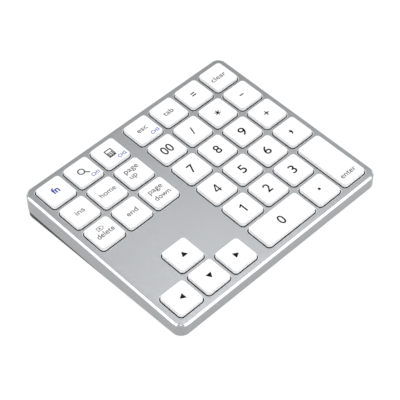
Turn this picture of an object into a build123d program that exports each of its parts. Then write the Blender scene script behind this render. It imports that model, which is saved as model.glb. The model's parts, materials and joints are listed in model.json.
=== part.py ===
from build123d import *
import math
import os
from collections import namedtuple

# A low scissor-switch number keypad: an aluminium shell with thirty-five key openings, a black
# wedge-shaped cover under it, and the key module, controller board and battery between them.
#
# Millimetres. Row frame: +X to the user's right, +Y to the back, +Z up, z = 0 on the desk.
# Deck frame: the shell's own frame, tilted up at the back, z = 0 on the top face of the plate.
# All parts are drawn in the deck frame except those that lie on the level floor.

# ---- Driving dimensions -----------------------------------------------------------------
KEY_PITCH = 19.0            # centre to centre of neighbouring keys
BLOCK_GAP = 5.0             # extra space between the navigation keys and the number keys
EDGE_MARGIN = 12.7          # outermost key centre to the side of the case
FRONT_HEIGHT = 8.6          # top of the plate to the floor's underside, at the front edge
TILT = 3.06                 # rise of the deck towards the back, degrees

CASE_CORNER_R = 5.5
CASE_CHAMFER = 1.1
PLATE_T = 1.2
WALL_T = 1.6
WALL_HEIGHT = 11.5          # top of the plate to the lower rim of the shell, at the back
RIM_CHAMFER = 0.18          # broken edge round every key opening

COVER_STEP = 0.4            # the cover's visible edge stands in from the shell's side
COVER_GAP = 0.15            # between cover and shell
COVER_T = 1.5
COVER_WALL_T = 1.2
COVER_WALL_H = 4.4
FOOT_R = 5.0
FOOT_STAND = 0.9            # how far a foot stands out of the floor
FOOT_POCKET = 0.5
FOOT_INSET_X = 13.0         # a foot's centre to the side of the case
FOOT_INSET_Y = 11.0

HOLE_SIZE = 17.3            # key opening
HOLE_CORNER_R = 2.6
CAP_SIZE = 16.2             # a single cap at its lower edge
CAP_CORNER_R = 2.1
CAP_DRAFT = 3.0             # degrees
CAP_RISE = 1.95             # cap top above the plate
CAP_LOW = 0.05              # cap's lower edge above the plate
CAP_WALL_T = 1.0
CAP_EDGE_R = 0.25
TRAVEL = 1.8                # key travel, along the deck's normal

FILM_T = 0.15               # each of the three films of the membrane
FILM_TOP = -3.2
BASE_T = 0.5

# ---- Sizes that follow ------------------------------------------------------------------
FIELD_W = 6 * KEY_PITCH + BLOCK_GAP
FIELD_D = 5 * KEY_PITCH
CASE_W = FIELD_W + 2 * EDGE_MARGIN
CASE_D = FIELD_D + 2 * EDGE_MARGIN
CAP_UNDER = CAP_RISE - CAP_WALL_T
BASE_TOP = FILM_TOP - 3 * FILM_T
BASE_BOTTOM = BASE_TOP - BASE_T
DEEP = -25.0                # below everything
WIDE = 400.0                # past everything

SIN_TILT = math.sin(math.radians(TILT))
COS_TILT = math.cos(math.radians(TILT))
DECK_Y = -(CASE_CHAMFER + WALL_HEIGHT) * SIN_TILT / 2
DECK_Z = CASE_D / 2 * SIN_TILT + FRONT_HEIGHT * COS_TILT + FOOT_STAND
DECK = Pos(0, DECK_Y, DECK_Z) * Rot(TILT, 0, 0)
LEVEL = DECK.inverse()      # takes a level tool into the deck frame

# ---- Keys -------------------------------------------------------------------------------
Key = namedtuple("Key", "name x y units turned")

KEY_ROWS = [
    ["fn", "search", "calculator", "escape", "tab", "equals", "clear"],
    ["insert", "home", "page_up", "double_zero", "divide", "multiply", "minus"],
    ["delete", "end", "page_down", "seven", "eight", "nine", "plus"],
    [None, None, None, "four", "five", "six", "comma"],
    [None, "up", None, "one", "two", "three", None],
    ["left", "down", "right", None, None, "point", None],
]


def column_x(column):
    """Centre line of a key column; columns 3 to 6 stand off by the block gap."""
    return column * KEY_PITCH + (BLOCK_GAP if column > 2 else 0) - FIELD_W / 2


def row_y(row):
    """Centre line of a key row, counted from the back."""
    return FIELD_D / 2 - row * KEY_PITCH


KEYS = [
    Key(name, column_x(column), row_y(row), 1, 0)
    for row, names in enumerate(KEY_ROWS)
    for column, name in enumerate(names)
    if name
]
ZERO = Key("zero", column_x(3.5), row_y(5), 2, 0)
ENTER = Key("enter", column_x(6), row_y(4.5), 2, 90)
KEYS += [ZERO, ENTER]


def site(key):
    """Where a key's mechanism stands; its long side lies along the site's X."""
    return Pos(key.x, key.y, 0) * Rot(0, 0, key.turned)


# ---- Fastener and board places, deck frame ----------------------------------------------
CASE_SCREWS = [
    (column_x(0.5), row_y(0.5)),
    (column_x(2) + (KEY_PITCH + BLOCK_GAP) / 2, row_y(0.5)),
    (column_x(5.5), row_y(0.5)),
    (column_x(0.5), row_y(4.5)),
    (column_x(2) + (KEY_PITCH + BLOCK_GAP) / 2, row_y(4.5)),
    (column_x(4.5), row_y(4.5)),
]
PLATE_SCREWS = [
    (column_x(1.5), row_y(0.5)),
    (column_x(4.5), row_y(0.5)),
    (column_x(0.5), row_y(2.5)),
    (column_x(2) + (KEY_PITCH + BLOCK_GAP) / 2, row_y(2.5)),
    (column_x(3.5), row_y(1.5)),
    (column_x(5.5), row_y(1.5)),
    (column_x(3.5), row_y(3.5)),
    (column_x(5.5), row_y(3.5)),
]
POST_R = 1.8
SCREW_R = 0.95
SCREW_HOLE_R = 1.0
SCREW_END = -1.2            # the screws' ends, at the underside of the plate
POST_HOLE_END = -0.9
HEAD_SEAT = -7.6            # where the case screws' heads bear on the cover
CASE_HEAD_R = 1.75
CASE_HEAD_T = 1.0
PLATE_HEAD_R = 1.6
PLATE_HEAD_T = 0.8
COVER_POST_R = 2.9

BOARD_X = (-5.5, 46.5)
BOARD_Y = (41.0, 58.0)
BOARD_T = 0.8
BOARD_TOP = -9.3
BOARD_BOTTOM = BOARD_TOP - BOARD_T
BOARD_SCREWS = [(-2.5, 54.5), (42.5, 44.5)]
BOARD_SCREW_R = 0.75
BOARD_HEAD_R = 1.4
BOARD_HEAD_T = 0.7
BOARD_POST_R = 2.0
BOARD_SCREW_END = BOARD_BOTTOM - 2.0
CHIPS = [                   # limits along X and Y, and height
    ((14, 20), (46, 52), 0.9),
    ((23, 26), (46, 49), 0.7),
    ((28, 31), (45, 46.5), 0.6),
]

SOCKET_X = 8.0
SOCKET_W = 8.94
SOCKET_H = 3.2
SOCKET_L = 7.3
SOCKET_WALL = 0.3
TONGUE_W = 6.7
TONGUE_T = 0.7
SOCKET_Z = BOARD_TOP + SOCKET_H / 2
SOCKET_MOUTH_Y = CASE_D / 2 - 0.3
SOCKET_CLEARANCE = 0.28

SWITCH_X = 27.0
SWITCH_W = 9.0
SWITCH_Y = (53.2, 57.4)
SWITCH_H = 3.0
SWITCH_Z = BOARD_TOP + SWITCH_H / 2
SWITCH_TRAVEL = 2.5
KNOB_W = 2.2
KNOB_H = 1.4
SLIDER_W = 3.0
SLIDER_H = 1.6
SLIDER_Y = (55.5, 57.2)
SLIDER_CLEARANCE = 0.3
RIB_PITCH = 0.7
RIB_W = 0.4

LIGHT_X = 18.0
LIGHT_Z = -7.8
LIGHT_R = 0.8
LIGHT_FOOT_Y = (54.5, 56.5)

TAIL_X = (34.0, 44.0)
TAIL_Y = 57.3
TAIL_END_Y = 51.0
TAIL_Z = -8.6
TAIL_BEND_R = 0.7

BATTERY_SIZE = (46.0, 30.0, 4.0)
BATTERY_AT = (-30.0, 8.0)
PAD_T = 0.5
LEAD_R = 0.45
PLUG_X = (2.0, 8.0)
PLUG_Y = (41.6, 45.4)
PLUG_H = 1.8

# ---- Scissor links ----------------------------------------------------------------------
LINK_LENGTH = 10.2          # along the site's Y
LINK_T = 0.8
LINK_ANGLE = 17.5           # degrees, with the key up
LINK_Z = (CAP_UNDER + FILM_TOP) / 2
OUTER_LINK_W = 12.6
OUTER_OPENING_W = 9.4
INNER_LINK_W = 9.0
INNER_OPENING_W = 7.0
LINK_OPENING_L = 8.2
PIVOT_R = 0.3
PIVOT_HOLE_R = 0.38
HOOK_INNER_Y = 4.5          # tip of a hook's lip
HOOK_GAP_Y = 5.15           # inner face of a hook's stem
HOOK_OUTER_Y = 5.55
HOOK_LIP_T = 0.2
BASE_HOOK_LIP = -2.11       # underside of a base hook's lip
CAP_HOOK_LIP = -0.14        # upper face of a cap hook's lip
OUTER_HOOK_X = (4.8, 6.2)   # hooks for the outer link
INNER_HOOK_X = (2.2, 3.8)   # hooks for the inner link
SLOT_GAP = 0.3
DOME_BRIM_R = 3.2
DOME_STEM_R = 1.7

# ---- Stabiliser wire of a double-width key ----------------------------------------------
WIRE_R = 0.4
WIRE_SPAN = 26.0
WIRE_FOOT_L = 1.6
WIRE_BEND_R = 1.2
WIRE_FOOT_Y = -3.6
WIRE_FOOT_Z = -2.75
WIRE_ARM_Y = 6.15
WIRE_ARM_Z = 0.45
WIRE_CLIP_X = 9.0
WIRE_CLIP_T = 0.8
WIRE_PLAY = 0.1


# ---- Helpers ----------------------------------------------------------------------------
def block(x, y, z):
    """A box from its low and high limits along each axis."""
    size = (x[1] - x[0], y[1] - y[0], z[1] - z[0])
    centre = Pos((x[0] + x[1]) / 2, (y[0] + y[1]) / 2, (z[0] + z[1]) / 2)
    return centre * Box(*size)


def rod(x, y, radius, low, high):
    """An upright cylinder."""
    return Pos(x, y, (low + high) / 2) * Cylinder(radius, high - low)


def prism(width, depth, radius, low, high):
    """A rounded rectangle, extruded upright."""
    outline = Pos(0, 0, low) * RectangleRounded(width, depth, radius)
    return extrude(outline, amount=high - low)


def case_prism(inset, low, high):
    """The case's outline, drawn in by an inset and extruded along the deck's normal."""
    return prism(CASE_W - 2 * inset, CASE_D - 2 * inset, CASE_CORNER_R - inset, low, high)


def along_x(profile, x):
    """A face drawn in the site's Y and Z, extruded from one X to another."""
    face = Plane.YZ.offset(x[0]) * profile
    return extrude(face, amount=x[1] - x[0])


def level_slab(low, high):
    """A level slab, in the deck frame."""
    return LEVEL * block((-WIDE, WIDE), (-WIDE, WIDE), (low, high))


def mirrored_x(solid):
    """A solid and its mirror image across the site's YZ plane."""
    return [solid, mirror(solid, about=Plane.YZ)]


def screw(head_r, head_t, shank_r, seat, end):
    """A pan-head screw pointing up, with a cross recess in its head."""
    head = Pos(0, 0, seat - head_t / 2) * Cylinder(head_r, head_t)
    head = fillet(head.edges().group_by(Axis.Z)[0], head_t * 0.4)
    shank = Pos(0, 0, (seat + end) / 2) * Cylinder(shank_r, end - seat)
    shank = chamfer(shank.edges().group_by(Axis.Z)[-1], shank_r * 0.3)
    recess = Pos(0, 0, seat - head_t) * (Box(head_r, 0.35, 0.8) + Box(0.35, head_r, 0.8))
    return head + shank - recess


def hook(stem_z, lip_z, x, side):
    """A sheet hook: an upright stem and a lip that reaches inwards over a link's end bar."""
    stem = block(x, (HOOK_GAP_Y, HOOK_OUTER_Y), stem_z)
    lip = block(x, (HOOK_INNER_Y, HOOK_OUTER_Y), lip_z)
    shape = stem + lip
    if side < 0:
        shape = mirror(shape, about=Plane.XZ)
    return mirrored_x(shape)


# ---- Case -------------------------------------------------------------------------------
def key_openings(low, high, size=HOLE_SIZE, radius=HOLE_CORNER_R):
    """One upright prism for each key opening."""
    openings = []
    for key in KEYS:
        length = size + (key.units - 1) * KEY_PITCH
        openings.append(site(key) * prism(length, size, radius, low, high))
    return openings


def make_top_shell():
    shell = case_prism(0, -WALL_HEIGHT, 0)
    shell = chamfer(shell.edges().group_by(Axis.Z)[-1], CASE_CHAMFER)
    shell -= case_prism(WALL_T, -WALL_HEIGHT, -PLATE_T)
    shell -= level_slab(-WIDE, FOOT_STAND)
    posts = [rod(x, y, POST_R, BASE_TOP, -PLATE_T) for x, y in CASE_SCREWS + PLATE_SCREWS]
    holes = [rod(x, y, SCREW_HOLE_R, BASE_TOP, POST_HOLE_END) for x, y in CASE_SCREWS + PLATE_SCREWS]
    shell = shell + posts - holes
    shell -= key_openings(-PLATE_T, 0)
    rims = [
        edge
        for edge in shell.edges().group_by(Axis.Z)[-1]
        if max(abs(edge.center().X) - CASE_W / 2, abs(edge.center().Y) - CASE_D / 2) < -2 * CASE_CHAMFER
    ]
    shell = chamfer(rims, RIM_CHAMFER)
    return shell - back_openings()


def back_openings():
    """The charging port, the switch slot and the status light's hole, through the back wall."""
    wall = (CASE_D / 2 - WALL_T - 0.5, CASE_D / 2 + 0.5)
    depth = wall[1] - wall[0]
    middle = (wall[0] + wall[1]) / 2
    port_w = SOCKET_W + 2 * SOCKET_CLEARANCE
    port_h = SOCKET_H + 2 * SOCKET_CLEARANCE
    port = Pos(SOCKET_X, middle, SOCKET_Z) * stadium(port_w, port_h, depth)
    slot_w = KNOB_W + SWITCH_TRAVEL + 2 * SLIDER_CLEARANCE
    slot_h = KNOB_H + 2 * SLIDER_CLEARANCE
    slot = Pos(SWITCH_X, middle, SWITCH_Z) * Box(slot_w, depth, slot_h)
    light = Pos(LIGHT_X, middle, LIGHT_Z) * Rot(90, 0, 0) * Cylinder(LIGHT_R + 0.15, depth)
    return [port, slot, light]


def stadium(width, height, depth):
    """A slot-shaped bar along Y, centred on the origin."""
    face = Plane.XZ.offset(-depth / 2) * SlotOverall(width, height)
    return extrude(face, amount=depth)


def make_bottom_cover():
    plug_inset = WALL_T + COVER_GAP
    cover = case_prism(COVER_STEP, DEEP, -WALL_HEIGHT - COVER_GAP) + case_prism(plug_inset, DEEP, 0)
    cover -= level_slab(FOOT_STAND + COVER_WALL_H, WIDE)
    cavity = case_prism(plug_inset + COVER_WALL_T, DEEP, 0) - level_slab(-WIDE, FOOT_STAND + COVER_T)
    cover -= cavity
    tall = [rod(x, y, COVER_POST_R, DEEP, BASE_BOTTOM - 0.05) for x, y in CASE_SCREWS]
    short = [rod(x, y, BOARD_POST_R, DEEP, BOARD_BOTTOM - 0.05) for x, y in BOARD_SCREWS]
    cover = cover + tall + short
    cover -= level_slab(-WIDE, FOOT_STAND)
    cover -= [rod(x, y, SCREW_HOLE_R + 0.15, DEEP, 0) for x, y in CASE_SCREWS]
    cover -= [rod(x, y, CASE_HEAD_R + 0.2, DEEP, HEAD_SEAT) for x, y in CASE_SCREWS]
    cover -= [rod(x, y, BOARD_SCREW_R + 0.05, BOARD_SCREW_END - 0.3, 0) for x, y in BOARD_SCREWS]
    pockets = [rod(x, y, FOOT_R + 0.1, 0, FOOT_STAND + FOOT_POCKET) for x, y in foot_places()]
    return cover - [LEVEL * pocket for pocket in pockets]


def foot_places():
    """The four feet, in the row frame."""
    x = CASE_W / 2 - FOOT_INSET_X
    y = CASE_D / 2 - FOOT_INSET_Y
    return [(side * x, end * y) for side in (-1, 1) for end in (-1, 1)]


def make_rubber_feet():
    foot = rod(0, 0, FOOT_R, 0, FOOT_STAND + FOOT_POCKET)
    foot = fillet(foot.edges().group_by(Axis.Z)[0], 0.4)
    return [Pos(x, y, 0) * foot for x, y in foot_places()]


# ---- Key module -------------------------------------------------------------------------
def make_base_plate():
    plate = case_prism(WALL_T + 0.4, BASE_BOTTOM, BASE_TOP)
    notch = block((TAIL_X[0] - 1, TAIL_X[1] + 1), (TAIL_Y - 0.8, CASE_D), (BASE_BOTTOM, BASE_TOP))
    plate -= [notch] + [
        rod(x, y, SCREW_R + 0.25, BASE_BOTTOM, BASE_TOP) for x, y in CASE_SCREWS + PLATE_SCREWS
    ]
    hooks = []
    for key in KEYS:
        hooks += [site(key) * part for part in base_hooks(key)]
    return plate + hooks


def base_hooks(key):
    """The hooks that hold the low ends of one key's links, and the ears for a stabiliser's feet."""
    stem = (BASE_TOP - 0.1, BASE_HOOK_LIP + HOOK_LIP_T)
    lip = (BASE_HOOK_LIP, BASE_HOOK_LIP + HOOK_LIP_T)
    parts = hook(stem, lip, OUTER_HOOK_X, -1) + hook(stem, lip, INNER_HOOK_X, 1)
    if key.units > 1:
        ear = block(wire_ear_x(), wire_ear_y(), stem)
        bore = Pos(0, WIRE_FOOT_Y, WIRE_FOOT_Z) * Rot(0, 90, 0) * Cylinder(WIRE_R + WIRE_PLAY, WIDE)
        parts += mirrored_x(ear - bore)
    return parts


def wire_ear_x():
    middle = WIRE_SPAN / 2 + WIRE_FOOT_L * 0.75
    return (middle - 0.2, middle + 0.2)


def wire_ear_y():
    return (WIRE_FOOT_Y - 1.0, WIRE_FOOT_Y + 1.0)


def make_film(low, contact_r=0):
    """One film of the membrane, with slots for the hooks and holes for the posts."""
    outline = RectangleRounded(CASE_W - 5.6, CASE_D - 7.6, 2.5)
    cuts = []
    for key in KEYS:
        windows = [
            mirrored_slot(OUTER_HOOK_X, (-HOOK_OUTER_Y, -HOOK_GAP_Y)),
            mirrored_slot(INNER_HOOK_X, (HOOK_GAP_Y, HOOK_OUTER_Y)),
        ]
        if key.units > 1:
            windows.append(mirrored_slot(wire_ear_x(), wire_ear_y()))
        for pair in windows:
            cuts += [site(key) * window for window in pair]
        if contact_r:
            cuts.append(site(key) * Circle(contact_r))
    cuts += [Pos(x, y) * Circle(POST_R + SLOT_GAP) for x, y in CASE_SCREWS + PLATE_SCREWS]
    return extrude(Pos(0, 0, low) * (outline - cuts), amount=FILM_T)


def mirrored_slot(x, y):
    """A rectangular window round a hook's foot, left and right."""
    width = x[1] - x[0] + 2 * SLOT_GAP
    depth = y[1] - y[0] + 2 * SLOT_GAP
    centre = (x[0] + x[1]) / 2
    return [Pos(side * centre, (y[0] + y[1]) / 2) * Rectangle(width, depth) for side in (-1, 1)]


def make_membrane_bottom_film():
    """The lowest film, whose tail bends down behind the base plate to the board."""
    film = make_film(BASE_TOP)
    middle = BASE_TOP + FILM_T / 2
    start_y = CASE_D / 2 - 4.5
    path = FilletPolyline(
        (start_y, middle), (TAIL_Y, middle), (TAIL_Y, TAIL_Z), (TAIL_END_Y, TAIL_Z), radius=TAIL_BEND_R
    )
    return film + along_x(trace(path, FILM_T), TAIL_X)


def make_domes():
    """A hollow silicone dome under each cap's centre."""
    top = CAP_UNDER - 0.05
    brim = FILM_TOP + 0.3
    outer = Polyline(
        (0, FILM_TOP), (DOME_BRIM_R, FILM_TOP), (DOME_BRIM_R, brim), (DOME_BRIM_R - 0.3, brim),
        (DOME_STEM_R, top - 1.0), (DOME_STEM_R, top), (0, top), (0, FILM_TOP),
    )
    roof = top - 1.2
    foot_r = DOME_BRIM_R - 0.7
    hollow = Polyline((0, FILM_TOP), (foot_r, FILM_TOP), (DOME_STEM_R - 0.5, roof), (0, roof), (0, FILM_TOP))
    profile = make_face(outer) - make_face(hollow)
    dome = revolve(Plane.XZ * profile, Axis.Z)
    return [site(key) * dome for key in KEYS]


def link_frame(width, opening_w):
    """A flat link: a rectangular ring with rounded corners."""
    outline = RectangleRounded(width, LINK_LENGTH, 0.8) - Rectangle(opening_w, LINK_OPENING_L)
    return extrude(Pos(0, 0, -LINK_T / 2) * outline, amount=LINK_T)


def make_outer_links():
    bore = Rot(0, 90, 0) * Cylinder(PIVOT_HOLE_R, OUTER_LINK_W - 1.4)
    link = link_frame(OUTER_LINK_W, OUTER_OPENING_W) - bore
    placed = Pos(0, 0, LINK_Z) * Rot(LINK_ANGLE, 0, 0) * link
    return [site(key) * placed for key in KEYS]


def make_inner_links():
    pin_x = (INNER_LINK_W / 2 - 0.3, OUTER_OPENING_W / 2 + 0.6)
    pin = Pos((pin_x[0] + pin_x[1]) / 2, 0, 0) * Rot(0, 90, 0) * Cylinder(PIVOT_R, pin_x[1] - pin_x[0])
    link = link_frame(INNER_LINK_W, INNER_OPENING_W) + mirrored_x(pin)
    placed = Pos(0, 0, LINK_Z) * Rot(-LINK_ANGLE, 0, 0) * link
    return [site(key) * placed for key in KEYS]


def make_stabiliser_wire(key):
    """A bent wire: feet in the base plate's ears, long arm in the cap's clips."""
    reach = math.hypot(WIRE_ARM_Y - WIRE_FOOT_Y, WIRE_ARM_Z - WIRE_FOOT_Z)
    slope = math.degrees(math.atan2(WIRE_ARM_Z - WIRE_FOOT_Z, WIRE_ARM_Y - WIRE_FOOT_Y))
    half = WIRE_SPAN / 2
    tip = half + WIRE_FOOT_L
    path = FilletPolyline(
        (-tip, 0), (-half, 0), (-half, reach), (half, reach), (half, 0), (tip, 0), radius=WIRE_BEND_R
    )
    section = Plane(origin=(-tip, 0, 0), z_dir=(1, 0, 0)) * Circle(WIRE_R)
    wire = sweep(section, path=path)
    return site(key) * Pos(0, WIRE_FOOT_Y, WIRE_FOOT_Z) * Rot(slope, 0, 0) * wire


def make_keycap(key):
    """A cap with drafted sides and a softened upper edge, hollow underneath, with link hooks."""
    extra = (key.units - 1) * KEY_PITCH
    length = CAP_SIZE + extra
    outline = Pos(0, 0, CAP_LOW) * RectangleRounded(length, CAP_SIZE, CAP_CORNER_R)
    cap = extrude(outline, amount=CAP_RISE - CAP_LOW, taper=CAP_DRAFT)
    cap = fillet(cap.edges().group_by(Axis.Z)[-1], CAP_EDGE_R)
    inner = CAP_SIZE - 2 * CAP_WALL_T
    cap -= prism(inner + extra, inner, CAP_CORNER_R - CAP_WALL_T, CAP_LOW, CAP_UNDER)
    stem = (CAP_HOOK_LIP - HOOK_LIP_T, CAP_UNDER + 0.1)
    lip = (CAP_HOOK_LIP - HOOK_LIP_T, CAP_HOOK_LIP)
    parts = hook(stem, lip, OUTER_HOOK_X, 1) + hook(stem, lip, INNER_HOOK_X, -1)
    if key.units > 1:
        parts += mirrored_x(wire_clip())
    return site(key) * (cap + parts)


def wire_clip():
    """A tab under a double cap with a slot in which the stabiliser's arm turns and slides."""
    drift = wire_drift()
    x = (WIRE_CLIP_X - WIRE_CLIP_T / 2, WIRE_CLIP_X + WIRE_CLIP_T / 2)
    tab = block(x, (WIRE_ARM_Y - 1.0, CAP_SIZE / 2 - CAP_WALL_T + 0.1), (WIRE_ARM_Z - 0.9, CAP_UNDER + 0.1))
    slot = Pos(WIRE_ARM_Y + drift / 2, WIRE_ARM_Z) * SlotCenterToCenter(drift, 2 * (WIRE_R + WIRE_PLAY))
    keep = block(x, (0, CAP_SIZE / 2 - CAP_WALL_T), (DEEP, CAP_UNDER))
    return tab - (along_x(slot, x) & keep)


def wire_drift():
    """How far the stabiliser's arm moves along the deck while its key goes down."""
    rise = WIRE_ARM_Z - WIRE_FOOT_Z
    reach = math.hypot(WIRE_ARM_Y - WIRE_FOOT_Y, rise)
    return math.sqrt(reach ** 2 - (rise - TRAVEL) ** 2) - (WIRE_ARM_Y - WIRE_FOOT_Y)


# ---- Electronics ------------------------------------------------------------------------
def make_controller_board():
    board = block(BOARD_X, BOARD_Y, (BOARD_BOTTOM, BOARD_TOP))
    board = fillet(board.edges().filter_by(Axis.Z), 1.0)
    chips = [block(x, y, (BOARD_TOP, BOARD_TOP + height)) for x, y, height in CHIPS]
    holes = [rod(x, y, BOARD_SCREW_R + 0.2, BOARD_BOTTOM, BOARD_TOP) for x, y in BOARD_SCREWS]
    return board - holes + chips


def make_charging_socket():
    shell = Pos(SOCKET_X, SOCKET_MOUTH_Y - SOCKET_L / 2, SOCKET_Z) * stadium(SOCKET_W, SOCKET_H, SOCKET_L)
    hollow_l = SOCKET_L - 1.0
    hollow = stadium(SOCKET_W - 2 * SOCKET_WALL, SOCKET_H - 2 * SOCKET_WALL, hollow_l)
    shell -= Pos(SOCKET_X, SOCKET_MOUTH_Y - hollow_l / 2, SOCKET_Z) * hollow
    tongue_l = SOCKET_L - 1.1
    tongue = Pos(SOCKET_X, SOCKET_MOUTH_Y - 0.6 - tongue_l / 2, SOCKET_Z) * Box(TONGUE_W, tongue_l, TONGUE_T)
    return shell + tongue


def make_switch_body():
    x = (SWITCH_X - SWITCH_W / 2, SWITCH_X + SWITCH_W / 2)
    body = block(x, SWITCH_Y, (BOARD_TOP, BOARD_TOP + SWITCH_H))
    pocket_y = (SLIDER_Y[0] - SLIDER_CLEARANCE, SWITCH_Y[1])
    pocket = slider_block(SWITCH_X, SLIDER_W + SWITCH_TRAVEL + 2 * SLIDER_CLEARANCE, pocket_y, SLIDER_H + 0.4)
    return body - pocket


def slider_block(x, width, y, height):
    """A block on the switch's own centre height, from its middle X and its limits along Y."""
    return block((x - width / 2, x + width / 2), y, (SWITCH_Z - height / 2, SWITCH_Z + height / 2))


def make_switch_knob():
    """The slider, drawn in its off place, with three ribs on its finger face."""
    x = SWITCH_X - SWITCH_TRAVEL / 2
    finger_y = CASE_D / 2 - 0.3
    slider = slider_block(x, SLIDER_W, SLIDER_Y, SLIDER_H)
    knob = slider_block(x, KNOB_W, (SLIDER_Y[1] - 0.1, finger_y), KNOB_H)
    ribs = [
        slider_block(x + step * RIB_PITCH, RIB_W, (finger_y - 0.1, finger_y + 0.3), KNOB_H - 0.2)
        for step in (-1, 0, 1)
    ]
    return slider + knob + ribs


def make_light_pipe():
    foot = block((LIGHT_X - 1, LIGHT_X + 1), LIGHT_FOOT_Y, (BOARD_TOP, LIGHT_Z + LIGHT_R))
    start_y = LIGHT_FOOT_Y[1] - 0.5
    end_y = CASE_D / 2 - 0.1
    pipe = Pos(LIGHT_X, (start_y + end_y) / 2, LIGHT_Z) * Rot(90, 0, 0) * Cylinder(LIGHT_R, end_y - start_y)
    return foot + pipe


def make_membrane_connector():
    x = (TAIL_X[0] - 1.0, TAIL_X[1] + 1.0)
    body = block(x, (TAIL_END_Y - 1.0, TAIL_END_Y + 3.0), (BOARD_TOP, BOARD_TOP + 1.5))
    mouth_x = (TAIL_X[0] - 0.2, TAIL_X[1] + 0.2)
    mouth = block(mouth_x, (TAIL_END_Y - 0.1, TAIL_END_Y + 3.0), (TAIL_Z - 0.15, TAIL_Z + 0.15))
    return body - mouth


def make_battery():
    """A flat pouch cell lying level on its pad."""
    width, depth, height = BATTERY_SIZE
    x, y = BATTERY_AT
    cell = Pos(x, y, FOOT_STAND + COVER_T + PAD_T + height / 2) * Box(width, depth, height)
    return fillet(cell.edges().filter_by(Axis.X) + cell.edges().filter_by(Axis.Z), 1.2)


def make_battery_pad():
    width, depth, _ = BATTERY_SIZE
    x, y = BATTERY_AT
    return Pos(x, y, FOOT_STAND + COVER_T + PAD_T / 2) * Box(width - 8, depth - 8, PAD_T)


def make_battery_leads():
    """Two insulated leads, level, from the cell's end to the plug on the board."""
    start_x = BATTERY_AT[0] + BATTERY_SIZE[0] / 2
    height = FOOT_STAND + COVER_T + PAD_T + BATTERY_SIZE[2] - 0.7
    leads = []
    for offset in (-0.7, 0.7):
        turn_x = sum(PLUG_X) / 2 + offset
        turn_y = 18.0 - offset
        path = FilletPolyline(
            (start_x, turn_y, height), (turn_x, turn_y, height), (turn_x, PLUG_Y[0] - 0.1, height), radius=5.0
        )
        section = Plane(origin=(start_x, turn_y, height), z_dir=(1, 0, 0)) * Circle(LEAD_R)
        leads.append(sweep(section, path=path))
    return leads


def make_battery_plug():
    return block(PLUG_X, PLUG_Y, (BOARD_TOP, BOARD_TOP + PLUG_H))


# ---- Fasteners --------------------------------------------------------------------------
def make_case_screws():
    one = screw(CASE_HEAD_R, CASE_HEAD_T, SCREW_R, HEAD_SEAT, SCREW_END)
    return [Pos(x, y, 0) * one for x, y in CASE_SCREWS]


def make_plate_screws():
    one = screw(PLATE_HEAD_R, PLATE_HEAD_T, SCREW_R, BASE_BOTTOM, SCREW_END)
    return [Pos(x, y, 0) * one for x, y in PLATE_SCREWS]


def make_board_screws():
    one = screw(BOARD_HEAD_R, BOARD_HEAD_T, BOARD_SCREW_R, 0, BOARD_TOP - BOARD_SCREW_END)
    return [Pos(x, y, BOARD_TOP) * Rot(180, 0, 0) * one for x, y in BOARD_SCREWS]


# ---- Output -----------------------------------------------------------------------------
def write(name, shapes, place):
    """Writes one node, a single solid or a group of separate ones, in the row frame."""
    group = shapes if isinstance(shapes, list) else [shapes]
    solids = [place * solid for shape in group for solid in shape.solids()]
    part = solids[0] if len(solids) == 1 else Compound(children=solids)
    export_step(part, "parts/" + name + ".step")


os.makedirs("parts", exist_ok=True)
UPRIGHT = Pos(0, 0, 0)

write("top_shell", make_top_shell(), DECK)
write("bottom_cover", make_bottom_cover(), DECK)
write("rubber_feet", make_rubber_feet(), UPRIGHT)

write("base_plate", make_base_plate(), DECK)
write("membrane_top_film", make_film(FILM_TOP - FILM_T), DECK)
write("membrane_spacer_film", make_film(FILM_TOP - 2 * FILM_T, contact_r=2.0), DECK)
write("membrane_bottom_film", make_membrane_bottom_film(), DECK)
write("rubber_domes", make_domes(), DECK)
write("scissor_outer_links", make_outer_links(), DECK)
write("scissor_inner_links", make_inner_links(), DECK)
write("zero_stabiliser_wire", make_stabiliser_wire(ZERO), DECK)
write("enter_stabiliser_wire", make_stabiliser_wire(ENTER), DECK)
for key in KEYS:
    write("keycap_" + key.name, make_keycap(key), DECK)

write("controller_board", make_controller_board(), DECK)
write("charging_socket", make_charging_socket(), DECK)
write("power_switch_body", make_switch_body(), DECK)
write("power_switch_knob", make_switch_knob(), DECK)
write("status_light_pipe", make_light_pipe(), DECK)
write("membrane_connector", make_membrane_connector(), DECK)
write("battery_plug", make_battery_plug(), DECK)
write("battery", make_battery(), UPRIGHT)
write("battery_pad", make_battery_pad(), UPRIGHT)
write("battery_leads", make_battery_leads(), UPRIGHT)

write("case_screws", make_case_screws(), DECK)
write("plate_screws", make_plate_screws(), DECK)
write("board_screws", make_board_screws(), DECK)
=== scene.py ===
import json
import math

import bmesh
import bpy
from mathutils import Matrix, Vector


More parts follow.
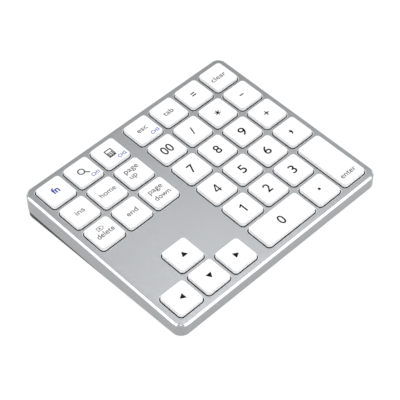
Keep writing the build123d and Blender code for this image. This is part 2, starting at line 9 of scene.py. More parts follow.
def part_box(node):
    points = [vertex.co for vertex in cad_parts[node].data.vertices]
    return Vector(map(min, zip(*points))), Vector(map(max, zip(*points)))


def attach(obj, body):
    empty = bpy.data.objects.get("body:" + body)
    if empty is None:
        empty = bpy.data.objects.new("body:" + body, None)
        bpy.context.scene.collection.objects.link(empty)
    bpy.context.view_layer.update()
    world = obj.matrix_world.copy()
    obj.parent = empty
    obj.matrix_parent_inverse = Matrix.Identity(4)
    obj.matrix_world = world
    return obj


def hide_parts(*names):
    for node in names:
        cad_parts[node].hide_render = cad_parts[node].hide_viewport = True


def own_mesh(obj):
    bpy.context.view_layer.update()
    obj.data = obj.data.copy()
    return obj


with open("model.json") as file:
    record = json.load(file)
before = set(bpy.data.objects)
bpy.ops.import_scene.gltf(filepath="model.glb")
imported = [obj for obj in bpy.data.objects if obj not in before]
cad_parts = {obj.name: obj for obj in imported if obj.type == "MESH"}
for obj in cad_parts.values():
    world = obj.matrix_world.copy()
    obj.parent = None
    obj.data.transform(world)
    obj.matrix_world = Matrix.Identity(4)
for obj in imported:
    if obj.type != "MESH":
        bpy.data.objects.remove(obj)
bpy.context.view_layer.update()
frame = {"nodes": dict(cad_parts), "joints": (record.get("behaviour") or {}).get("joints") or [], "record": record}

MM = 0.001
NODES = frame["nodes"]
JOINTS = {joint["name"]: joint for joint in frame["joints"]}
KEY_NAMES = [name[len("keycap_"):] for name in sorted(NODES) if name.startswith("keycap_")]

# ---- The tilted deck --------------------------------------------------------------------
# Keys press along the deck's normal, so a key joint's axis gives the deck's own axes.
NORMAL = -Vector(JOINTS["press_five"]["axis"]).normalized()
RIGHT = Vector((1, 0, 0))
BACK = NORMAL.cross(RIGHT).normalized()


def deck_box(node):
    """Lowest and highest corners of a CAD node along the deck's own axes."""
    points = [(v.co.dot(RIGHT), v.co.dot(BACK), v.co.dot(NORMAL)) for v in NODES[node].data.vertices]
    low = Vector([min(p[i] for p in points) for i in range(3)])
    high = Vector([max(p[i] for p in points) for i in range(3)])
    return low, high


def on_deck(x, y, z):
    """A matrix that stands a piece drawn in X and Y on the deck, at a point in deck axes."""
    turn = Matrix((RIGHT, BACK, NORMAL)).transposed().to_4x4()
    return Matrix.Translation(RIGHT * x + BACK * y + NORMAL * z) @ turn


# ---- Materials --------------------------------------------------------------------------
ANODISED_GREY = (0.37, 0.381, 0.392)
POLISHED_METAL = (0.6, 0.62, 0.64)
BARE_METAL = (0.84, 0.85, 0.87)
# Keycap colours by slope are painted light and shade: the sides lighter than the top, and the turned-down edge
# painted dark.
KEYCAP_DIMMED_TOP = (0.83, 0.835, 0.84)
KEYCAP_PAINTED_LIT_SIDE = (0.95, 0.955, 0.96)
KEYCAP_PAINTED_EDGE_SHADE = (0.42, 0.425, 0.44)


def new_material(name, color, roughness, metallic=0.0, specular=0.5):
    """A new material, with its node tree and its shader."""
    material = bpy.data.materials.new(name)
    material.use_nodes = True
    shader = material.node_tree.nodes["Principled BSDF"]
    shader.inputs["Base Color"].default_value = (*color, 1)
    shader.inputs["Roughness"].default_value = roughness
    shader.inputs["Metallic"].default_value = metallic
    shader.inputs["Specular IOR Level"].default_value = specular
    return material, material.node_tree, shader


def coordinates(tree):
    """The object's own coordinates, for a texture."""
    node = tree.nodes.new("ShaderNodeTexCoord")
    return node.outputs["Object"]


def noise(tree, scale, detail=3.0, stretch=None):
    """Noise in object space; stretch squeezes it along each axis, as for a drawn or brushed surface."""
    source = coordinates(tree)
    if stretch:
        mapping = tree.nodes.new("ShaderNodeMapping")
        mapping.inputs["Scale"].default_value = stretch
        tree.links.new(source, mapping.inputs["Vector"])
        source = mapping.outputs["Vector"]
    texture = tree.nodes.new("ShaderNodeTexNoise")
    texture.inputs["Scale"].default_value = scale
    texture.inputs["Detail"].default_value = detail
    tree.links.new(source, texture.inputs["Vector"])
    return texture.outputs["Fac"]


def ramp(tree, factor, low, high, start=0.3, end=0.7):
    """Maps a factor to a value, or to a colour, between two ends."""
    node = tree.nodes.new("ShaderNodeMapRange")
    node.inputs["From Min"].default_value = start
    node.inputs["From Max"].default_value = end
    node.inputs["To Min"].default_value = low
    node.inputs["To Max"].default_value = high
    tree.links.new(factor, node.inputs["Value"])
    return node.outputs["Result"]


def mix_color(tree, factor, first, second):
    """A colour between two others, by a factor."""
    node = tree.nodes.new("ShaderNodeMix")
    node.data_type = "RGBA"
    tree.links.new(factor, node.inputs["Factor"])
    node.inputs["A"].default_value = (*first, 1)
    node.inputs["B"].default_value = (*second, 1)
    return node.outputs["Result"]


def bump(tree, shader, height, distance, strength=1.0):
    """Roughens a shader's surface by a height."""
    node = tree.nodes.new("ShaderNodeBump")
    node.inputs["Strength"].default_value = strength
    node.inputs["Distance"].default_value = distance
    tree.links.new(height, node.inputs["Height"])
    tree.links.new(node.outputs["Normal"], shader.inputs["Normal"])


def plastic(name, color, roughness, grain=3000, depth=0.01 * MM, spread=0.06):
    """Moulded plastic: fine grain, slightly uneven gloss and colour."""
    material, tree, shader = new_material(name, color, roughness)
    broad = noise(tree, 60, 2)
    darker = tuple(c * 0.93 for c in color)
    tree.links.new(mix_color(tree, broad, darker, color), shader.inputs["Base Color"])
    uneven = ramp(tree, noise(tree, 400, 4), roughness - spread, roughness + spread)
    tree.links.new(uneven, shader.inputs["Roughness"])
    bump(tree, shader, noise(tree, grain, 2), depth)
    return material


def metal(name, color, roughness, stretch=None, grain=2500, depth=0.006 * MM, spread=0.05):
    """Bare or plated metal with a fine grain, brushed where it is stretched."""
    material, tree, shader = new_material(name, color, roughness, metallic=1.0)
    darker = tuple(c * 0.92 for c in color)
    tree.links.new(mix_color(tree, noise(tree, 90, 3, stretch), darker, color), shader.inputs["Base Color"])
    uneven = ramp(tree, noise(tree, 500, 3, stretch), roughness - spread, roughness + spread)
    tree.links.new(uneven, shader.inputs["Roughness"])
    bump(tree, shader, noise(tree, grain, 2, stretch), depth)
    return material


def blasted_aluminium():
    """Bead-blasted, clear anodised aluminium: cool grey with a soft, even gloss."""
    material, tree, shader = new_material("blasted_aluminium", ANODISED_GREY, 0.38, metallic=1.0)
    darker = tuple(c * 0.96 for c in ANODISED_GREY)
    tree.links.new(mix_color(tree, noise(tree, 45, 3), darker, ANODISED_GREY), shader.inputs["Base Color"])
    tree.links.new(ramp(tree, noise(tree, 700, 4), 0.34, 0.42), shader.inputs["Roughness"])
    bump(tree, shader, noise(tree, 5200, 2), 0.008 * MM, 0.6)
    return material


def polished_aluminium():
    """The cut chamfer round the case: nearly mirror bright, with faint cutter lines."""
    material, tree, shader = new_material("polished_aluminium", POLISHED_METAL, 0.14, metallic=1.0)
    brighter = tuple(c * 1.1 for c in POLISHED_METAL)
    shade = mix_color(tree, noise(tree, 120, 2), POLISHED_METAL, brighter)
    tree.links.new(shade, shader.inputs["Base Color"])
    tree.links.new(ramp(tree, noise(tree, 900, 2), 0.11, 0.18), shader.inputs["Roughness"])
    bump(tree, shader, noise(tree, 1600, 2, (1, 1, 9)), 0.002 * MM, 0.5)
    return material


def bare_aluminium():
    """The broken edge of a key opening: bare metal where the cutter went through the grey surface."""
    material, tree, shader = new_material("bare_aluminium", BARE_METAL, 0.55, metallic=0.4)
    darker = tuple(c * 0.94 for c in BARE_METAL)
    tree.links.new(mix_color(tree, noise(tree, 300, 2), darker, BARE_METAL), shader.inputs["Base Color"])
    tree.links.new(ramp(tree, noise(tree, 900, 2), 0.5, 0.6), shader.inputs["Roughness"])
    bump(tree, shader, noise(tree, 2600, 2), 0.002 * MM)
    return material


def keycap_plastic():
    """Satin white moulded plastic with painted shading by slope: the sides painted lighter than the top, and a
    painted shade line where the edges turn down.
    """
    material = plastic("keycap_plastic", KEYCAP_PAINTED_LIT_SIDE, 0.36, 3600, 0.004 * MM)
    tree = material.node_tree
    shader = tree.nodes["Principled BSDF"]
    geometry = tree.nodes.new("ShaderNodeNewGeometry")
    slope = tree.nodes.new("ShaderNodeVectorMath")
    slope.operation = "DOT_PRODUCT"
    slope.inputs[1].default_value = NORMAL
    tree.links.new(geometry.outputs["Normal"], slope.inputs[0])
    # Painted shading: the colour follows the surface's tilt against the deck, lighter on the sides and dark at the
    # turned-down edges.
    painted_shading = tree.nodes.new("ShaderNodeValToRGB")
    stops = painted_shading.color_ramp.elements
    stops[0].position, stops[1].position = 0.2, 0.97
    stops[0].color, stops[1].color = (*KEYCAP_PAINTED_LIT_SIDE, 1), (*KEYCAP_DIMMED_TOP, 1)
    for position in (0.35, 0.85):
        stops.new(position).color = (*KEYCAP_PAINTED_EDGE_SHADE, 1)
    tree.links.new(slope.outputs["Value"], painted_shading.inputs["Fac"])
    cloudy = tree.nodes.new("ShaderNodeMix")
    cloudy.data_type = "RGBA"
    cloudy.blend_type = "MULTIPLY"
    cloudy.inputs["Factor"].default_value = 1
    tree.links.new(painted_shading.outputs["Color"], cloudy.inputs["A"])
    tree.links.new(mix_color(tree, noise(tree, 60, 2), (0.97, 0.97, 0.97), (1, 1, 1)), cloudy.inputs["B"])
    tree.links.new(cloudy.outputs["Result"], shader.inputs["Base Color"])
    shader.inputs["Subsurface Weight"].default_value = 0.5
    shader.inputs["Subsurface Radius"].default_value = (1.0, 1.0, 1.0)
    shader.inputs["Subsurface Scale"].default_value = 0.9 * MM
    return material


def circuit_board():
    """Green solder mask over faint tracks."""
    material, tree, shader = new_material("circuit_board", (0.01, 0.13, 0.05), 0.3)
    tracks = board_tracks(tree)
    shade = mix_color(tree, tracks, (0.008, 0.1, 0.04), (0.02, 0.2, 0.08))
    tree.links.new(shade, shader.inputs["Base Color"])
    bump(tree, shader, tracks, 0.03 * MM)
    return material


def board_tracks(tree):
    """Stepped bands like tracks under a solder mask."""
    texture = tree.nodes.new("ShaderNodeTexBrick")
    texture.inputs["Scale"].default_value = 420
    texture.inputs["Mortar Size"].default_value = 0.03
    texture.inputs["Color1"].default_value = (0.2, 0.2, 0.2, 1)
    texture.inputs["Color2"].default_value = (0.8, 0.8, 0.8, 1)
    texture.inputs["Mortar"].default_value = (0.0, 0.0, 0.0, 1)
    tree.links.new(coordinates(tree), texture.inputs["Vector"])
    return texture.outputs["Color"]


def clear_film(name, color, roughness, transmission):
    """Clear plastic with a slightly uneven gloss."""
    material, tree, shader = new_material(name, color, roughness)
    shader.inputs["Transmission Weight"].default_value = transmission
    uneven = ramp(tree, noise(tree, 300, 3), roughness - 0.04, roughness + 0.06)
    tree.links.new(uneven, shader.inputs["Roughness"])
    bump(tree, shader, noise(tree, 900, 2), 0.004 * MM)
    return material


MATERIALS = {
    "anodised_aluminium": blasted_aluminium(),
    "black_case_plastic": plastic("black_case_plastic", (0.012, 0.012, 0.013), 0.55, 1800, 0.03 * MM),
    "foot_rubber": plastic("foot_rubber", (0.018, 0.018, 0.018), 0.8, 1200, 0.03 * MM),
    # Module steel and membrane film are black partly as their own black paint and dark film, and partly as painted
    # shade that darkens the gaps round the keycaps.
    "module_steel": plastic("module_steel", (0.012, 0.012, 0.013), 0.5, 1600),
    "membrane_film": plastic("membrane_film", (0.008, 0.008, 0.009), 0.42, 900, 0.004 * MM),
    "dome_silicone": plastic("dome_silicone", (0.72, 0.72, 0.69), 0.5, 900, 0.01 * MM),
    "link_plastic": plastic("link_plastic", (0.80, 0.80, 0.77), 0.45, 1500, 0.01 * MM),
    "spring_wire": metal("spring_wire", (0.5, 0.5, 0.5), 0.28, (12, 1, 1)),
    "circuit_board": circuit_board(),
    "socket_steel": metal("socket_steel", (0.7, 0.7, 0.71), 0.24, (1, 8, 1)),
    "component_plastic": plastic("component_plastic", (0.02, 0.02, 0.02), 0.5, 1800),
    "knob_plastic": plastic("knob_plastic", (0.02, 0.02, 0.022), 0.45, 2400),
    "light_pipe_plastic": clear_film("light_pipe_plastic", (0.9, 0.93, 0.96), 0.15, 0.6),
    "battery_pouch": metal("battery_pouch", (0.6, 0.61, 0.62), 0.4, None, 700, 0.02 * MM),
    "foam_pad": plastic("foam_pad", (0.03, 0.03, 0.03), 0.9, 900, 0.06 * MM),
    "lead_insulation": plastic("lead_insulation", (0.35, 0.015, 0.012), 0.45, 1500),
    "screw_steel": metal("screw_steel", (0.25, 0.25, 0.26), 0.35, None, 2200),
    "keycap_plastic": keycap_plastic(),
}
for part in frame["record"]["subparts"]:
    mesh = NODES[part["node"]].data
    mesh.materials.clear()
    mesh.materials.append(MATERIALS[part["material_slot"]])


# ---- Shell ------------------------------------------------------------------------------
SHARP_EDGE = math.radians(25)
CUT_SLOPE = math.sqrt(0.5)      # the chamfers lie at half a right angle to the deck
SLOPE_PLAY = 0.03
RIM_SPREAD = 0.15 * MM          # how much wider than deep the broken edge of a key opening is
RIM_INSET = 2 * MM              # the key openings lie farther in than this from the case's outline
TOP_PLAY = 0.01 * MM            # how far below the plate's top a vertex still counts as on it
WELD = 0.0005 * MM
FACE_WEIGHT = 100
CHAMFER_INDEX = 1               # places of the two cut metals among the shell's materials
RIM_INDEX = 2
SHELL_LOW, SHELL_HIGH = deck_box("top_shell")


def on_rim(point):
    """Whether a point lies well inside the case's outline, as the key openings do."""
    x, y = point.dot(RIGHT), point.dot(BACK)
    inset = min(x - SHELL_LOW.x, SHELL_HIGH.x - x, y - SHELL_LOW.y, SHELL_HIGH.y - y)
    return inset > RIM_INSET


def widen_rims(shape):
    """Draws the upper loop of each opening's broken edge outwards, so that the edge catches the light."""
    for vert in shape.verts:
        rims = [face for face in vert.link_faces if face.material_index == RIM_INDEX]
        if rims and vert.co.dot(NORMAL) > SHELL_HIGH.z - TOP_PLAY:
            slope = sum((face.normal for face in rims), Vector())
            inward = slope - NORMAL * slope.dot(NORMAL)
            vert.co -= inward.normalized() * RIM_SPREAD


def add_shell():
    """The aluminium shell, welded and shaded smooth round its corners, with its cut chamfers polished."""
    shape = bmesh.new()
    shape.from_mesh(NODES["top_shell"].data)
    bmesh.ops.remove_doubles(shape, verts=shape.verts, dist=WELD)
    for face in shape.faces:
        face.smooth = True
        if abs(face.normal.dot(NORMAL) - CUT_SLOPE) < SLOPE_PLAY:
            face.material_index = RIM_INDEX if on_rim(face.calc_center_median()) else CHAMFER_INDEX
    widen_rims(shape)
    for edge in shape.edges:
        edge.smooth = len(edge.link_faces) == 2 and edge.calc_face_angle() < SHARP_EDGE
    mesh = bpy.data.meshes.new("shell")
    shape.to_mesh(mesh)
    shape.free()
    if "custom_normal" in mesh.attributes:
        mesh.attributes.remove(mesh.attributes["custom_normal"])
    shell = bpy.data.objects.new("shell", mesh)
    bpy.context.scene.collection.objects.link(shell)
    mesh.materials.append(MATERIALS["anodised_aluminium"])
    mesh.materials.append(polished_aluminium())
    mesh.materials.append(bare_aluminium())
    weights = shell.modifiers.new("weights", "WEIGHTED_NORMAL")
    weights.keep_sharp = True
    weights.weight = FACE_WEIGHT
    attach(shell, "case")
    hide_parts("top_shell")


add_shell()


# ---- Key legends ------------------------------------------------------------------------
def ink(name, color):
    """Printed ink: slightly uneven cover and gloss."""
    material, tree, shader = new_material(name, color, 0.42, specular=0.03)
    lighter = tuple(min(1.0, c * 1.25 + 0.01) for c in color)
    tree.links.new(mix_color(tree, noise(tree, 1400, 3), color, lighter), shader.inputs["Base Color"])
    tree.links.new(ramp(tree, noise(tree, 2200, 2), 0.36, 0.5), shader.inputs["Roughness"])
    bump(tree, shader, noise(tree, 5000, 2), 0.002 * MM)
    return material


BLACK_INK = ink("black_ink", (0.003, 0.003, 0.003))
WORD_INK = ink("word_ink", (0.03, 0.03, 0.032))
BLUE_INK = ink("blue_ink", (0.012, 0.035, 0.3))

INK_T = 0.02 * MM
INK_SINK = 0.01 * MM
INK_STEP = 0.0005 * MM
WORD_SIZE = 4.7 * MM
DIGIT_SIZE = 8.0 * MM
SMALL_SIZE = 3.1 * MM
FN_SIZE = 5.6 * MM
COMMA_SIZE = 12 * MM
WORD_WEIGHT = 0.01 * MM           # how far a letter's outline is spread
DIGIT_WEIGHT = 0.06 * MM
SMALL_WEIGHT = 0.04 * MM
FN_WEIGHT = 0.13 * MM
COMMA_WEIGHT = 0.15 * MM


def text_mesh(words, size, weight, stretch):
    """Text as a thin closed mesh, centred on the origin and stretched sideways."""
    curve = bpy.data.curves.new("words", "FONT")
    curve.body = words
    curve.size = size
    curve.extrude = INK_T / 2
    curve.offset = weight
    curve.resolution_u = 8
    source = bpy.data.objects.new("words", curve)
    bpy.context.scene.collection.objects.link(source)
    bpy.context.view_layer.update()
    mesh = bpy.data.meshes.new_from_object(source.evaluated_get(bpy.context.evaluated_depsgraph_get()))
    bpy.data.objects.remove(source)
    bpy.data.curves.remove(curve)
    xs = [v.co.x for v in mesh.vertices]
    ys = [v.co.y for v in mesh.vertices]
    middle = Vector(((min(xs) + max(xs)) / 2, (min(ys) + max(ys)) / 2, 0))
    mesh.transform(Matrix.Diagonal((stretch, 1, 1, 1)) @ Matrix.Translation(-middle))
    return mesh


def outline_mesh(loops):
    """Thin closed prisms from loops of points in millimetres, each a hair above the last where they cross."""
    shape = bmesh.new()
    for index, loop in enumerate(loops):
        rise = INK_T / 2 + index * INK_STEP
        low = [shape.verts.new((x * MM, y * MM, -rise)) for x, y in loop]
        high = [shape.verts.new((x * MM, y * MM, rise)) for x, y in loop]
        shape.faces.new(list(reversed(low)))
        shape.faces.new(high)
        for i in range(len(loop)):
            j = (i + 1) % len(loop)
            shape.faces.new((low[i], low[j], high[j], high[i]))
    mesh = bpy.data.meshes.new("outline")
    shape.to_mesh(mesh)
    shape.free()
    return mesh


def bar(x0, y0, x1, y1, width, past=0.0):
    """A straight stroke between two points, as a loop; it may run past both."""
    along = Vector((x1 - x0, y1 - y0)).normalized()
    side = Vector((-along.y, along.x)) * width / 2
    x0, y0 = x0 - along.x * past, y0 - along.y * past
    x1, y1 = x1 + along.x * past, y1 + along.y * past
    near = [(x0 - side.x, y0 - side.y), (x1 - side.x, y1 - side.y)]
    return near + [(x1 + side.x, y1 + side.y), (x0 + side.x, y0 + side.y)]


def frame_line(points, width):
    """Strokes along a closed line of points, with full corners."""
    return [bar(*a, *b, width, width / 2) for a, b in zip(points, points[1:] + points[:1])]


def circle(x, y, radius, count=32):
    """A round loop of points."""
    turns = [2 * math.pi * i / count for i in range(count)]
    return [(x + radius * math.cos(a), y + radius * math.sin(a)) for a in turns]


def ring(x, y, radius, width, count=40):
    """A round stroke, as short wedge pieces that share their edges."""
    inner = circle(x, y, radius - width / 2, count)
    outer = circle(x, y, radius + width / 2, count)
    return [[inner[i], outer[i], outer[(i + 1) % count], inner[(i + 1) % count]] for i in range(count)]


def rectangle(x, y, width, height):
    """A rectangle about its middle."""
    w, h = width / 2, height / 2
    return [(x - w, y - h), (x + w, y - h), (x + w, y + h), (x - w, y + h)]


def arrow_head(turn):
    """An arrow head; turn counts quarter turns from pointing up."""
    c, s = math.cos(math.pi / 2 * turn), math.sin(math.pi / 2 * turn)
    return [[(x * c - y * s, x * s + y * c) for x, y in ((-1.85, -1.4), (1.85, -1.4), (0, 1.7))]]


def magnifier():
    """A ring with a handle."""
    return ring(-0.6, 0.6, 1.8, 0.66) + [bar(0.6, -0.6, 2.8, -2.7, 0.7)]


def calculator():
    """A frame with three rows of keys under an empty screen."""
    body = frame_line([(-2.0, -2.5), (2.0, -2.5), (2.0, 2.5), (-2.0, 2.5)], 0.6)
    keys = [rectangle(-1.2 + 1.2 * i, 0.3 - 1.05 * j, 0.85, 0.75) for i in range(3) for j in range(3)]
    return body + keys


def one():
    """The digit 1: a stem with a flag."""
    return [rectangle(0.5, 0, 0.9, 5.6), bar(0.45, 2.3, -1.2, 1.3, 0.8)]


def four():
    """The digit 4: a stem, a crossbar and a slope."""
    stem = rectangle(0.8, 0, 0.75, 5.6)
    return [stem, rectangle(-0.05, -1.35, 3.9, 0.7), bar(0.7, 2.6, -1.75, -1.2, 0.7)]


def erase_mark():
    """A tag that points right, with a small cross in it."""
    tag = frame_line([(-1.8, -1.2), (0.9, -1.2), (2.1, 0), (0.9, 1.2), (-1.8, 1.2)], 0.32)
    return tag + [bar(-0.95, -0.6, 0.35, 0.6, 0.28), bar(-0.95, 0.6, 0.35, -0.6, 0.28)]


def cross(arms, reach, width):
    """Bars through one point, evenly turned, the first of them upright."""
    turns = [math.pi * i / arms for i in range(arms)]
    ends = [(reach * math.sin(a), reach * math.cos(a)) for a in turns]
    return [bar(-x, -y, x, y, width) for x, y in ends]


def word(text, x=0.0, y=0.0, stretch=1.0):
    """A word in thin letters; like the next three, a mesh with its ink and its place on the cap."""
    return (text_mesh(text, WORD_SIZE, WORD_WEIGHT, stretch), WORD_INK, x * MM, y * MM)


def digit(text, x=-0.35, y=-0.1, stretch=0.98):
    """A large digit, or two."""
    return (text_mesh(text, DIGIT_SIZE, DIGIT_WEIGHT, stretch), BLACK_INK, x * MM, y * MM)


def mark(loops, x=0.0, y=0.0, ink_material=BLACK_INK):
    """A sign drawn from loops."""
    return (outline_mesh(loops), ink_material, x * MM, y * MM)


def channel(number):
    """A small blue label for a second function, at the cap's lower right."""
    return (text_mesh(f"CH{number}", SMALL_SIZE, SMALL_WEIGHT, 0.92), BLUE_INK, 4.15 * MM, -5.05 * MM)


LEGENDS = {
    "fn": [(text_mesh("fn", FN_SIZE, FN_WEIGHT, 1.03), BLUE_INK, 0.1 * MM, 0.7 * MM)],
    "search": [mark(magnifier(), -0.2, 0.2, WORD_INK), channel(1)],
    "calculator": [mark(calculator(), 0, 0, WORD_INK), channel(2)],
    "escape": [word("esc", -0.2, 0.4, 1.15), channel(3)],
    "tab": [word("tab", -0.5, 0, 1.12)],
    "equals": [mark([rectangle(0, 0.8, 2.9, 0.72), rectangle(0, -0.8, 2.9, 0.72)], -0.35, 0.0)],
    "clear": [word("clear", -0.3, -0.1, 1.13)],
    "insert": [word("ins", -0.1, 0.1, 1.13)],
    "home": [word("home", 0.15, 0, 0.98)],
    "page_up": [word("page", 0.3, 2.3, 1.1), word("up", -1.9, -2.2, 1.05)],
    "double_zero": [digit("00", -0.4, -0.25, 0.94)],
    "divide": [mark([bar(-0.75, -2.5, 0.75, 2.5, 0.68)], -0.4, -0.1)],
    "multiply": [mark(cross(3, 1.8, 0.6), -0.45, -0.2)],
    "minus": [mark([rectangle(0, 0, 2.75, 0.72)], -0.5, 0.2)],
    "delete": [mark(erase_mark(), 0.0, 3.4, WORD_INK), word("delete", 0.3, -0.5, 0.97)],
    "end": [word("end", 0.2, 0.2, 1.05)],
    "page_down": [word("page", 0.0, 2.2, 1.1), word("down", 0.3, -2.3, 0.98)],
    "plus": [mark(cross(2, 1.65, 0.7), -0.5, 0.1)],
    "comma": [(text_mesh(",", COMMA_SIZE, COMMA_WEIGHT, 0.9), BLACK_INK, -0.7 * MM, 0)],
    "up": [mark(arrow_head(0), 0.35, -0.1)],
    "left": [mark(arrow_head(1), 0.4, 0.0)],
    "down": [mark(arrow_head(2), 0.5, -0.1)],
    "right": [mark(arrow_head(3), 0.3, 0.05)],
    "enter": [word("enter", 0, -12.1, 1.05)],
    "point": [mark([circle(0, 0, 0.83)], -0.25, 0.25)],
    "zero": [digit("0", -0.7, -0.2)],
    "one": [mark(one(), 0.1, -0.1)],
    "two": [digit("2", -0.15, 0.6, 1.05)],
    "three": [digit("3", -0.4, 0.3, 1.12)],
    "four": [mark(four(), -0.35, -0.1)],
    "five": [digit("5", -0.4, -0.15, 1.1)],
    "six": [digit("6", -0.6, 0.15, 1.1)],
    "seven": [digit("7")],
    "eight": [digit("8", -0.15, -0.1)],
    "nine": [digit("9", -0.45, -0.3, 1.1)],
}


def add_piece(name, mesh, matrix, material):
    """A new object from a mesh, placed and given its material."""
    piece = bpy.data.objects.new(name, mesh)
    bpy.context.scene.collection.objects.link(piece)
    mesh.materials.clear()
    mesh.materials.append(material)
    piece.matrix_world = matrix
    return piece


def print_legend(key):
    """Puts a key's ink on the top of its cap, one piece for each mark."""
    low, high = deck_box("keycap_" + key)
    centre = (low + high) / 2
    for index, (mesh, material, x, y) in enumerate(LEGENDS[key]):
        place = on_deck(centre.x + x, centre.y + y, high.z + INK_T / 2 - INK_SINK)
        piece = add_piece(f"legend_{key}_{index + 1}", mesh, place, material)
        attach(piece, "key_" + key)


for key in KEY_NAMES:
    print_legend(key)


# ---- Switch parts under each key --------------------------------------------------------
FILM_TOP = deck_box("membrane_top_film")[1].z
UNDER_CAP = deck_box("rubber_domes")[1].z
SWITCH_HEIGHT = UNDER_CAP - FILM_TOP

LINK_T = 0.8 * MM
LINK_LENGTH = 10.2 * MM
LINK_CORNER_R = 0.8 * MM
LINK_OPENING_L = 8.2 * MM
LINK_OPENING_R = 0.4 * MM
OUTER_LINK_W = 12.6 * MM
OUTER_OPENING_W = 9.4 * MM
INNER_LINK_W = 9.0 * MM
INNER_OPENING_W = 7.0 * MM
LINK_ANGLE = math.radians(17.5)
LINK_LIFT = 0.02 * MM
PIN_R = 0.3 * MM
PIN_L = 1.0 * MM
PIN_X = 4.75 * MM
DEEP_KEY = 20 * MM              # only the enter key is deeper; its links are turned


def lathe(profile, count=32):
    """A closed surface of revolution from points (radius, height) in metres."""
    shape = bmesh.new()
    turns = [2 * math.pi * i / count for i in range(count)]
    rings = []
    for radius, height in profile:
        if radius == 0:
            rings.append([shape.verts.new((0, 0, height))])
        else:
            loop = [(radius * math.cos(a), radius * math.sin(a), height) for a in turns]
            rings.append([shape.verts.new(point) for point in loop])
    for first, second in zip(rings, rings[1:]):
        for i in range(count):
            j = (i + 1) % count
            corners = [first[i % len(first)], first[j % len(first)]]
            corners += [second[j % len(second)], second[i % len(second)]]
            shape.faces.new(list(dict.fromkeys(corners)))
    bmesh.ops.recalc_face_normals(shape, faces=shape.faces)
    mesh = bpy.data.meshes.new("lathe")
    shape.to_mesh(mesh)
    shape.free()
    for polygon in mesh.polygons:
        polygon.use_smooth = True
    return mesh


def dome_mesh():
    """A soft dome: flange, sloped skirt, bead and solid stem, hollow below."""
    top = SWITCH_HEIGHT
    profile = [
        (0, top), (1.5 * MM, top), (1.72 * MM, top - 0.2 * MM), (1.72 * MM, top - 0.9 * MM),
        (1.95 * MM, top - 1.15 * MM), (2.45 * MM, 1.1 * MM), (2.85 * MM, 0.45 * MM), (3.15 * MM, 0.3 * MM),
        (3.2 * MM, 0.15 * MM), (3.2 * MM, 0.0), (2.55 * MM, 0.0), (2.1 * MM, 1.0 * MM),
        (1.4 * MM, top - 1.45 * MM), (0.9 * MM, top - 1.35 * MM), (0.8 * MM, top - 1.75 * MM),
        (0, top - 1.8 * MM),
    ]
    return lathe(profile)


def link_mesh():
    """The crossed pair of link frames, outer and inner, with the pivot pins between them."""
    outer = ring_frame(OUTER_LINK_W, OUTER_OPENING_W)
    inner = ring_frame(INNER_LINK_W, INNER_OPENING_W)
    outer.transform(Matrix.Rotation(LINK_ANGLE, 4, "X"))
    inner.transform(Matrix.Rotation(-LINK_ANGLE, 4, "X"))
    shape = bmesh.new()
    shape.from_mesh(outer)
    shape.from_mesh(inner)
    for side in (-1, 1):
        pin_at = Matrix.Translation((side * PIN_X, 0, 0)) @ Matrix.Rotation(math.pi / 2, 4, "Y")
        bmesh.ops.create_cone(
            shape, cap_ends=True, segments=16, radius1=PIN_R, radius2=PIN_R, depth=PIN_L, matrix=pin_at
        )
    mesh = bpy.data.meshes.new("links")
    shape.to_mesh(mesh)
    shape.free()
    bpy.data.meshes.remove(outer)
    bpy.data.meshes.remove(inner)
    return mesh


def rounded_loop(width, length, radius, steps=5):
    """A rectangle with rounded corners, as a loop of points."""
    points = []
    for corner, (sx, sy) in enumerate(((1, 1), (-1, 1), (-1, -1), (1, -1))):
        cx, cy = sx * (width / 2 - radius), sy * (length / 2 - radius)
        for i in range(steps + 1):
            a = math.pi / 2 * (corner + i / steps)
            points.append((cx + radius * math.cos(a), cy + radius * math.sin(a)))
    return points


def ring_frame(width, opening_w):
    """One link: a flat ring with rounded corners, of the links' common length and thickness."""
    outer = rounded_loop(width, LINK_LENGTH, LINK_CORNER_R)
    inner = rounded_loop(opening_w, LINK_OPENING_L, LINK_OPENING_R)
    shape = bmesh.new()
    levels = []
    for loop in (outer, inner):
        for z in (-LINK_T / 2, LINK_T / 2):
            levels.append([shape.verts.new((x, y, z)) for x, y in loop])
    outer_low, outer_high, inner_low, inner_high = levels
    count = len(outer)
    section = [outer_low, outer_high, inner_high, inner_low, outer_low]
    for a, b in zip(section, section[1:]):
        for i in range(count):
            j = (i + 1) % count
            shape.faces.new((a[i], a[j], b[j], b[i]))
    bmesh.ops.recalc_face_normals(shape, faces=shape.faces)
    mesh = bpy.data.meshes.new("ring")
    shape.to_mesh(mesh)
    shape.free()
    return mesh


DOME = dome_mesh()
LINKS = link_mesh()
LINKS_Z = FILM_TOP + SWITCH_HEIGHT / 2 + LINK_LIFT


def add_switch(key):
    """A key's dome and its pair of links, standing on the film under the cap and fixed to the case."""
    low, high = deck_box("keycap_" + key)
    centre = (low + high) / 2
    base = on_deck(centre.x, centre.y, FILM_TOP)
    dome = add_piece("dome_" + key, DOME.copy(), base, MATERIALS["dome_silicone"])
    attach(dome, "case")
    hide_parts("rubber_domes")
    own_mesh(dome)
    turned = high.y - low.y > DEEP_KEY
    turn = Matrix.Rotation(math.pi / 2, 4, "Z") if turned else Matrix.Identity(4)
    links_at = on_deck(centre.x, centre.y, LINKS_Z) @ turn
    links = add_piece("links_" + key, LINKS.copy(), links_at, MATERIALS["link_plastic"])
    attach(links, "case")
    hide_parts("scissor_outer_links", "scissor_inner_links")
    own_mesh(links)


for key in KEY_NAMES:
    add_switch(key)


# ---- Floor, light and camera ------------------------------------------------------------
FLOOR_SIZE = 6.0
FLOOR_CORNER_R = 0.5
FLOOR_COLOR = (0.13, 0.13, 0.13)
FLOOR_GLOW = 0.9
# A painted shadow: the unlit patch under the case stands in for the contact shade there.
PAINTED_SHADOW_CORNER_R = 5 * MM
PAINTED_SHADOW_RISE = 0.02 * MM
PAINTED_SHADOW_COLOR = (0.15, 0.15, 0.15)
WORLD_STRENGTH = 0.66


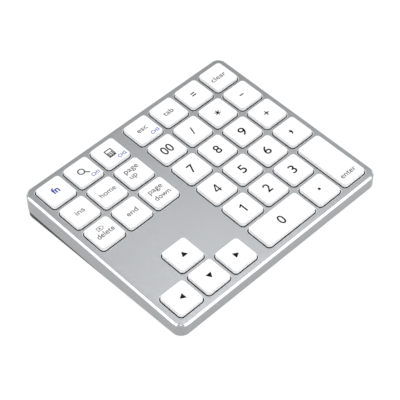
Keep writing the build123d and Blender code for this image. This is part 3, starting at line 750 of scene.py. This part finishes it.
def add_flat(name, loop, z, color, glow):
    """A flat staged piece: its outline, height and look."""
    mesh = bpy.data.meshes.new(name)
    mesh.from_pydata([(x, y, z) for x, y in loop], [], [range(len(loop))])
    material, _, shader = new_material(name, color, 0.9, specular=0.0)
    shader.inputs["Emission Color"].default_value = (1, 1, 1, 1)
    shader.inputs["Emission Strength"].default_value = glow
    mesh.materials.append(material)
    flat = bpy.data.objects.new(name, mesh)
    bpy.context.scene.collection.objects.link(flat)


def add_floor():
    """A white floor that glows like a light table, and a painted shadow: a dull, unlit patch where the case stands
    on it.
    """
    low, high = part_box("bottom_cover")
    middle = (low + high) / 2
    outline = rounded_loop(high.x - low.x, high.y - low.y, PAINTED_SHADOW_CORNER_R)
    painted_shadow = [(middle.x + x, middle.y + y) for x, y in outline]
    add_flat("floor", rounded_loop(FLOOR_SIZE, FLOOR_SIZE, FLOOR_CORNER_R), 0, FLOOR_COLOR, FLOOR_GLOW)
    add_flat("painted_shadow_under_case", painted_shadow, PAINTED_SHADOW_RISE, PAINTED_SHADOW_COLOR, 0)


def add_softbox(name, direction, distance, size, radiance, about=(0, 0, 0)):
    """A square softbox that faces a point on the keypad, as bright as its radiance says."""
    light = bpy.data.lights.new(name, "AREA")
    light.shape = "SQUARE"
    light.size = size
    light.energy = radiance * math.pi * size * size
    lamp = bpy.data.objects.new(name, light)
    bpy.context.scene.collection.objects.link(lamp)
    toward = Vector(direction).normalized()
    lamp.location = Vector(about) + toward * distance
    lamp.rotation_euler = toward.to_track_quat("Z", "Y").to_euler()


def add_world(color, strength):
    """Even light from all round."""
    world = bpy.data.worlds.new("studio")
    world.use_nodes = True
    background = world.node_tree.nodes["Background"]
    background.inputs["Color"].default_value = (*color, 1)
    background.inputs["Strength"].default_value = strength
    bpy.context.scene.world = world


VIEW_AZIMUTH = math.radians(41.641)     # the view's heading, from +Y towards +X
VIEW_ELEVATION = math.radians(48.411)
VIEW_ROLL = math.radians(3.275)
VIEW_DISTANCE = 783.85 * MM
VIEW_AIM = Vector((-9.73, -9.68, 14.155)) * MM
VIEW_SENSOR = 36
VIEW_LENS = 135.78


def add_camera():
    """The main view's camera, which looks down from the front left with a slight roll."""
    camera = bpy.data.objects.new("camera", bpy.data.cameras.new("camera"))
    bpy.context.scene.collection.objects.link(camera)
    camera.data.sensor_width = VIEW_SENSOR
    camera.data.lens = VIEW_LENS
    forward = Vector((
        math.sin(VIEW_AZIMUTH) * math.cos(VIEW_ELEVATION),
        math.cos(VIEW_AZIMUTH) * math.cos(VIEW_ELEVATION),
        -math.sin(VIEW_ELEVATION),
    ))
    level = forward.cross(Vector((0, 0, 1))).normalized()
    down = forward.cross(level)
    right = level * math.cos(VIEW_ROLL) + down * math.sin(VIEW_ROLL)
    up = right.cross(forward)
    turn = Matrix((right, up, -forward)).transposed().to_4x4()
    camera.matrix_world = Matrix.Translation(VIEW_AIM - forward * VIEW_DISTANCE) @ turn
    bpy.context.scene.camera = camera


add_floor()
add_world((1, 1, 1), WORLD_STRENGTH)
add_softbox("front_box", (0.25, -0.75, 0.61), 1.0, 1.1, 1.5)
add_softbox("left_box", (-0.75, 0.3, 0.6), 1.0, 1.1, 1.2)
add_softbox("plate_box", (0.441, 0.414, 0.797), 0.6, 0.3, 1.6, (-0.12, -0.17, 0))
add_softbox("top_box", (0.35, -0.35, 0.87), 1.3, 0.9, 0.35)
add_camera()
bpy.context.scene.view_settings.view_transform = "Standard"
